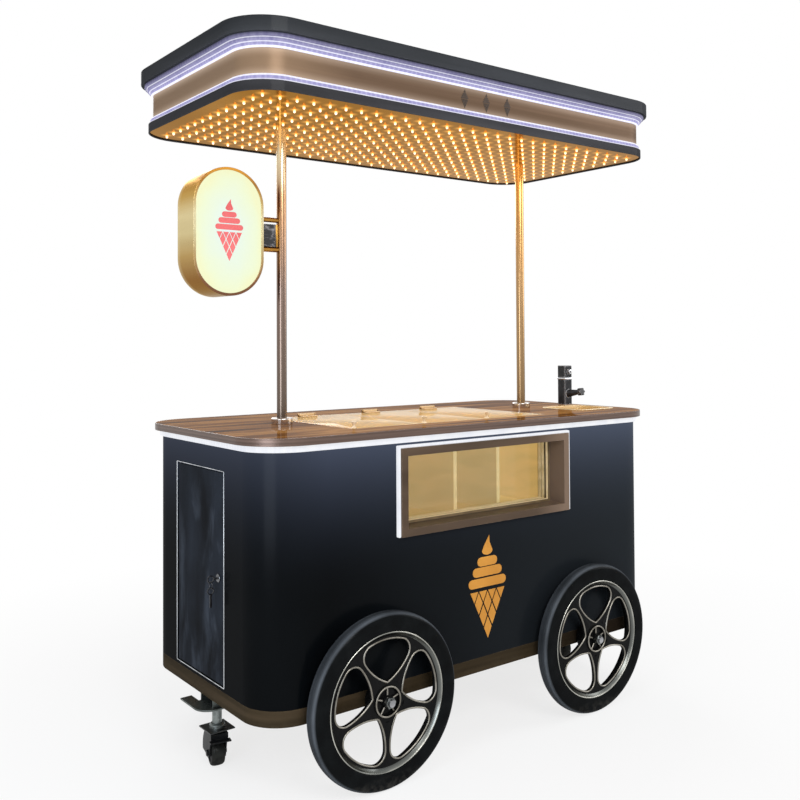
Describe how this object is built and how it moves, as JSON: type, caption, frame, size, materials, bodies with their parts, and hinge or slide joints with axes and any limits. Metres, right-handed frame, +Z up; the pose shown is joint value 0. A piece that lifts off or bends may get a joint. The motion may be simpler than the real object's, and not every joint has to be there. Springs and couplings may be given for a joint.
{
  "type": "ice cream cart",
  "caption": "Wheeled ice cream cart with a glazed cold well, lidded counter, sink and tap, lit canopy on posts, side sign, spoked wheels and end casters.",
  "frame": {"origin": "on the ground under the middle of the cart", "axes": "+X along the cart towards the tap, -Y towards the window side, +Z up"},
  "size_m": [1.738, 0.945, 2.1535],
  "materials": {
    "black_steel": "satin black",
    "board": "sealed board",
    "bronze_skirt": "satin dark bronze",
    "navy_panel": "gloss near-black navy enamel",
    "counter_stone": "polished streaked brown composite",
    "edge_metal": "brushed grey-brown",
    "lit_strip": "cool white lit diffuser",
    "window_bronze": "satin bronze anodised",
    "clear_glass": "clear",
    "liner": "warm cream lining over foam",
    "steel": "brushed",
    "tap_black": "satin black",
    "door_black": "gloss black skin on a foam core",
    "zinc": "bright plated",
    "rose_gold": "brushed rose gold",
    "slate": "satin dark slate",
    "fascia_bronze": "satin bronze",
    "bronze_mirror": "bronze mirror",
    "bulb": "warm lit",
    "gold": "brushed gold",
    "sign_face": "lit cream diffuser",
    "tyre": "black rubber with a pale shoulder line",
    "wheel_black": "black with bronze outlines",
    "caster_rubber": "black",
    "unit_grey": "dark grey",
    "tank_white": "milky white"
  },
  "bodies": {
    "cart": {"chassis_frame": "black_steel", "floor_panel": "board", "skirt_band": "bronze_skirt", "front_panel": "navy_panel", "left_end_panel": "navy_panel", "right_end_panel": "navy_panel", "rear_panel": "navy_panel", "corner_panels": "navy_panel", "cabinet_frame": "black_steel", "counter_top": "counter_stone", "counter_edge_band": "edge_metal", "counter_led_strips": "lit_strip", "canopy_led_strips": "lit_strip", "window_frame": "window_bronze", "window_glass": "clear_glass", "well_liner": "liner", "well_dividers": "liner", "well_rim": "steel", "hinge_pins": "steel", "sink_bowl": "steel", "tap_column": "tap_black", "end_door_trim": "steel", "canopy_posts": "rose_gold", "post_flanges": "rose_gold", "canopy_cap": "slate", "canopy_fascia": "fascia_bronze", "canopy_rim": "slate", "canopy_ceiling": "bronze_mirror", "ceiling_bulbs": "bulb", "canopy_frame": "board", "sign_band": "gold", "sign_faces": "sign_face", "sign_bracket": "rose_gold", "sign_junction_box": "black_steel", "wheel_axles": "steel", "axle_nuts": "zinc", "caster_brackets": "zinc", "condensing_unit": "unit_grey", "water_tanks": "tank_white"},
    "front_left_road_wheel": {"front_left_tyre": "tyre", "front_left_wheel": "wheel_black"},
    "front_right_road_wheel": {"front_right_tyre": "tyre", "front_right_wheel": "wheel_black"},
    "rear_left_road_wheel": {"rear_left_tyre": "tyre", "rear_left_wheel": "wheel_black"},
    "rear_right_road_wheel": {"rear_right_tyre": "tyre", "rear_right_wheel": "wheel_black"},
    "left_caster_fork": {"caster_left_fork": "black_steel"},
    "left_caster_wheel": {"caster_left_wheel": "caster_rubber"},
    "right_caster_fork": {"caster_right_fork": "black_steel"},
    "right_caster_wheel": {"caster_right_wheel": "caster_rubber"},
    "left_lid": {"lid_left": "clear_glass"},
    "middle_lid": {"lid_middle": "clear_glass"},
    "right_lid": {"lid_right": "clear_glass"},
    "door": {"end_door": "door_black"},
    "lock": {"door_lock": "zinc"},
    "left_rear_door": {"rear_door_left": "door_black"},
    "right_rear_door": {"rear_door_right": "door_black"},
    "swivel_head": {"tap_head": "tap_black"},
    "star_knob": {"tap_knob": "tap_black"}
  },
  "joints": [
    {"name": "front_left_wheel_spin", "type": "hinge", "parent": "cart", "child": "front_left_road_wheel", "pos_m": [-0.44, -0.432, 0.25], "axis": [0, 1, 0], "continuous": true},
    {"name": "front_right_wheel_spin", "type": "hinge", "parent": "cart", "child": "front_right_road_wheel", "pos_m": [0.44, -0.432, 0.25], "axis": [0, 1, 0], "continuous": true},
    {"name": "rear_left_wheel_spin", "type": "hinge", "parent": "cart", "child": "rear_left_road_wheel", "pos_m": [-0.44, 0.432, 0.25], "axis": [0, 1, 0], "continuous": true},
    {"name": "rear_right_wheel_spin", "type": "hinge", "parent": "cart", "child": "rear_right_road_wheel", "pos_m": [0.44, 0.432, 0.25], "axis": [0, 1, 0], "continuous": true},
    {"name": "left_caster_swivel", "type": "hinge", "parent": "cart", "child": "left_caster_fork", "pos_m": [-0.75, 0, 0.104], "axis": [0, 0, 1], "continuous": true},
    {"name": "left_caster_roll", "type": "hinge", "parent": "left_caster_fork", "child": "left_caster_wheel", "pos_m": [-0.74792, 0.00978, 0.04], "axis": [-0.9781, 0.2079, 0], "continuous": true},
    {"name": "right_caster_swivel", "type": "hinge", "parent": "cart", "child": "right_caster_fork", "pos_m": [0.75, 0, 0.104], "axis": [0, 0, 1], "continuous": true},
    {"name": "right_caster_roll", "type": "hinge", "parent": "right_caster_fork", "child": "right_caster_wheel", "pos_m": [0.75208, 0.00978, 0.04], "axis": [-0.9781, 0.2079, 0], "continuous": true},
    {"name": "left_lid_hinge", "type": "hinge", "parent": "cart", "child": "left_lid", "pos_m": [-0.312, 0.208, 1.018], "axis": [-1, 0, 0], "range_deg": [0, 95]},
    {"name": "middle_lid_hinge", "type": "hinge", "parent": "cart", "child": "middle_lid", "pos_m": [-0.044, 0.208, 1.018], "axis": [-1, 0, 0], "range_deg": [0, 95]},
    {"name": "right_lid_hinge", "type": "hinge", "parent": "cart", "child": "right_lid", "pos_m": [0.224, 0.208, 1.018], "axis": [-1, 0, 0], "range_deg": [0, 95]},
    {"name": "end_door_hinge", "type": "hinge", "parent": "cart", "child": "door", "pos_m": [-0.794, 0.163, 0.593], "axis": [0, 0, -1], "range_deg": [0, 95]},
    {"name": "door_lock_turn", "type": "hinge", "parent": "door", "child": "lock", "pos_m": [-0.8, -0.116, 0.592], "axis": [-1, 0, 0], "range_deg": [0, 90]},
    {"name": "left_rear_door_slide", "type": "slide", "parent": "cart", "child": "left_rear_door", "axis": [1, 0, 0], "range_m": [0, 0.179]},
    {"name": "right_rear_door_slide", "type": "slide", "parent": "cart", "child": "right_rear_door", "axis": [-1, 0, 0], "range_m": [0, 0.179]},
    {"name": "tap_head_swivel", "type": "hinge", "parent": "cart", "child": "swivel_head", "pos_m": [0.782, 0.0095, 1.114], "axis": [0, 0, 1], "range_deg": [-60, 60]},
    {"name": "tap_knob_turn", "type": "hinge", "parent": "cart", "child": "star_knob", "pos_m": [0.782, 0.0095, 1.054], "axis": [0, -0.9903, 0.1392], "range_deg": [0, 90]}
  ]
}
